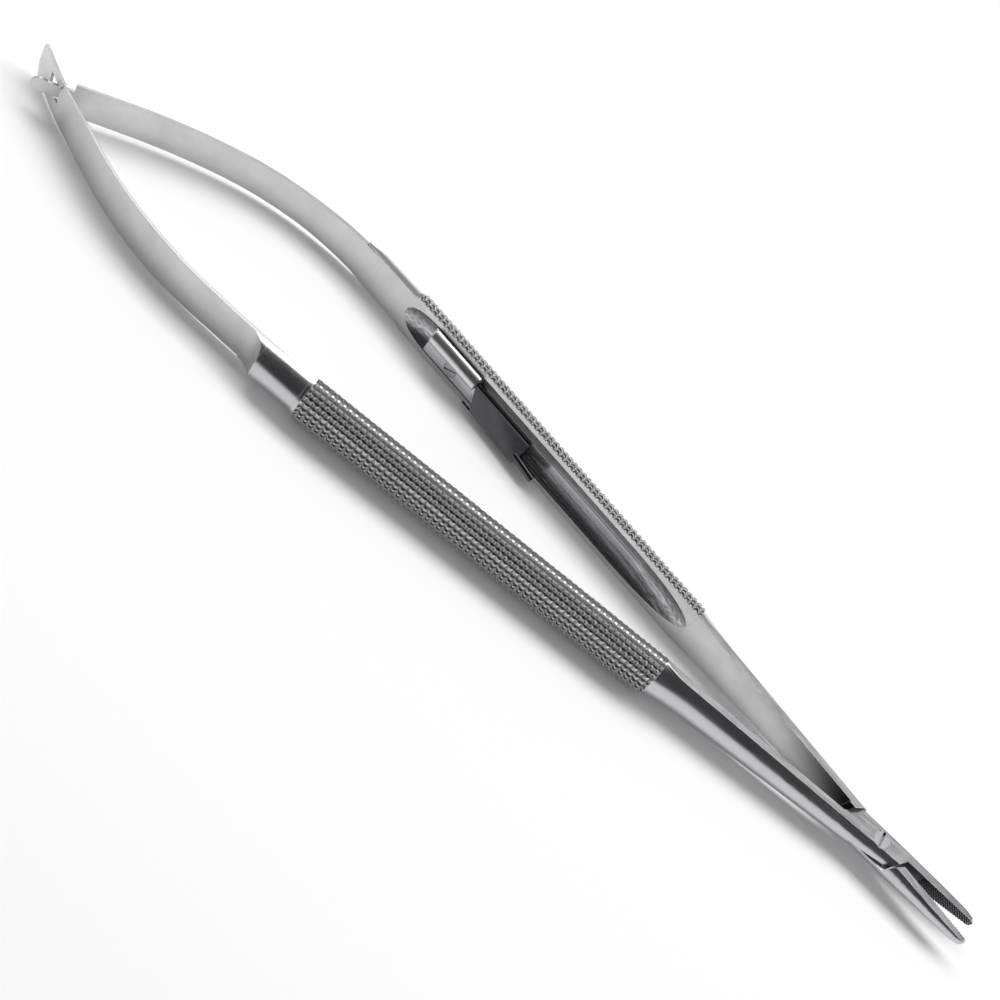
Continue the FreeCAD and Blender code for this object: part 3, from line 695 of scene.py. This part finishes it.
def make_camera():
    """The camera at the photograph's place, rolled so that the instrument lies along the diagonal."""
    azimuth = math.radians(CAMERA_AZIMUTH)
    elevation = math.radians(CAMERA_ELEVATION)
    roll = math.radians(CAMERA_ROLL)
    level = math.cos(elevation)
    away = Vector((math.sin(azimuth) * level, -math.cos(azimuth) * level, math.sin(elevation)))
    right = Vector((math.cos(azimuth), math.sin(azimuth), 0.0))
    up = away.cross(right)
    rolled_right = right * math.cos(roll) + up * math.sin(roll)
    rolled_up = up * math.cos(roll) - right * math.sin(roll)
    turn = Matrix((rolled_right, rolled_up, away)).transposed().to_4x4()
    data = bpy.data.cameras.new("camera")
    data.lens = CAMERA_LENS
    data.sensor_width = CAMERA_SENSOR
    data.clip_start, data.clip_end = CAMERA_CLIP
    camera = bpy.data.objects.new("camera", data)
    target = (Vector(CAMERA_TARGET) + Vector((PIVOT, 0.0, 0.0))) * MM
    camera.matrix_world = Matrix.Translation(target + away * CAMERA_DISTANCE * MM) @ turn
    bpy.context.scene.collection.objects.link(camera)
    bpy.context.scene.camera = camera


def make_world():
    """A white studio, dimmer as a light than it looks."""
    world = bpy.data.worlds.new("studio")
    bpy.context.scene.world = world
    world.use_nodes = True
    n = Nodes(world.node_tree)
    glow = n.add("ShaderNodeBackground")
    n.set(glow, "Color", (1.0, 1.0, 1.0, 1.0))
    n.set(glow, "Strength", n.map_range(shown_rays(n), 0.0, 1.0, WORLD_POWER, 1.0))
    n.set(n.add("ShaderNodeOutputWorld"), "Surface", glow.outputs[0])


def make_card(name, start, end, shade):
    """A curved card that arches over the table along its length, between two angles from the camera's side."""
    angles = [math.radians(start + (end - start) * i / CARD_STEPS) for i in range(CARD_STEPS + 1)]
    verts = []
    for a in angles:
        verts += [(x * CARD_WIDTH, -CARD_RADIUS * math.cos(a), CARD_RADIUS * math.sin(a)) for x in (-1, 1)]
    faces = [(2 * i, 2 * i + 1, 2 * i + 3, 2 * i + 2) for i in range(CARD_STEPS)]
    mesh = bpy.data.meshes.new(name)
    mesh.from_pydata(verts, [], faces)
    card = bpy.data.objects.new(name, mesh)
    card.visible_camera = False
    card.visible_diffuse = False
    card.visible_shadow = False
    bpy.context.scene.collection.objects.link(card)
    mesh.materials.append(plain(name, shade, 0.9))


def make_floor():
    """A white table that keeps soft shadows."""
    mesh = bpy.data.meshes.new("floor")
    corners = [(x * FLOOR_REACH, y * FLOOR_REACH, 0.0) for x, y in ((-1, -1), (1, -1), (1, 1), (-1, 1))]
    mesh.from_pydata(corners, [], [(0, 1, 2, 3)])
    floor = bpy.data.objects.new("floor", mesh)
    bpy.context.scene.collection.objects.link(floor)
    mesh.materials.append(plain("table", (0.9, 0.9, 0.91), 0.6, FLOOR_CLEAR))


def make_lamp():
    """A large soft lamp above and behind."""
    data = bpy.data.lights.new("softbox", "AREA")
    data.shape = "RECTANGLE"
    data.size, data.size_y = LAMP_SIZE
    data.energy = LAMP_POWER
    lamp = bpy.data.objects.new("softbox", data)
    lamp.location = LAMP_PLACE
    lamp.rotation_euler = (Vector((0.0, 0.0, 0.0)) - lamp.location).to_track_quat("-Z", "Y").to_euler()
    bpy.context.scene.collection.objects.link(lamp)


def dress(name, material):
    """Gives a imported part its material."""
    mesh = frame["nodes"][name].data
    mesh.materials.clear()
    mesh.materials.append(material)
    mesh.shade_smooth()
    mesh.set_sharp_from_angle(angle=math.radians(SHARP_DEG))


def arm_steels(name, side):
    """An arm's materials, in the order of the kinds of face, with the brush lines along the handle."""
    turn = -side * math.radians(HANDLE_DEG)
    return [
        steel(name + "_round", (0.60, 0.60, 0.61), 0.24, edge=0.0, turn=turn, spread=0.03, rounding=0.12),
        # The flats take painted shade towards the joint
        steel(name + "_flat", (0.70, 0.695, 0.695), 0.36, turn=turn, smudge=0.15, painted_shade=FLAT_PAINTED_SHADE),
        steel(name + "_groove", (0.60, 0.60, 0.61), 0.26, brush=GROOVE_BRUSH, turn=turn, streaks=0.8),
        steel(name + "_strip", (0.56, 0.56, 0.57), 0.2, edge=0.0, turn=turn, rounding=0.1),
        # Cut faces in the joint's lap and the jaw's relief are painted nearly black: painted shade for the gap
        # between the arms
        steel(name + "_cut", (0.12, 0.12, 0.125), 0.3),
        # The teeth are a darker copy of the steel, with painted shade in their valleys
        steel(name + "_teeth", (0.35, 0.35, 0.36), 0.3, hatch=TOOTH_PITCH),
        # Knurl flanks are a darker copy of the crests' steel: painted shade in the valleys
        steel(name + "_knurl", (0.40, 0.40, 0.405), 0.32, edge=0.0),
        steel(name + "_knurl_top", (0.58, 0.58, 0.59), 0.42, edge=0.0),
    ]


for name, node, body, side, spec in (("near_arm_piece", "arm_a", "near_arm", -1, STRAP_A),
                                     ("far_arm_piece", "arm_b", "far_arm", 1, STRAP_B)):
    make_arm(name, node, body, side, spec, arm_steels(name, side))

spring = steel("spring", (0.70, 0.692, 0.694), 0.36, smudge=0.15)
# The strap's side walls are a darker copy of the spring steel: painted shade along its edges
spring_wall_shade = steel("spring_wall_shade", (0.42, 0.42, 0.43), 0.35, edge=0.0)
for name, node, bodies, side, spec, outline in (
        ("near_strap_piece", "strap_a", ("near_arm", "near_strap"), -1, STRAP_A, window_outline(STRAP_A)),
        ("far_strap_piece", "strap_b", ("far_arm", "far_strap"), 1, STRAP_B, tongue_outline(STRAP_B))):
    make_strap(name, node, side, spec, outline, [spring, spring_wall_shade])

# Screws, keeper and latch block get strong painted shade along their edges and slots
bright = steel("bright", (0.60, 0.60, 0.61), 0.2, edge=0.9, spread=0.02)
satin = steel("satin", (0.70, 0.70, 0.71), 0.32, edge=0.7)
# The latch blade is painted nearly black: painted shade for the dark reflection it shows
blade = steel("blade", (0.10, 0.10, 0.105), 0.22, edge=0.0)
dress("keeper", satin)
dress("latch_block", satin)
dress("latch_blade", blade)
for name in ("keeper_screw", "latch_screw", "pivot_screw"):
    dress(name, bright)

make_camera()
make_world()
make_floor()
make_card("front_card", *FRONT_CARD)
make_card("back_card", *BACK_CARD)
make_lamp()

bpy.context.scene.view_settings.view_transform = "Standard"
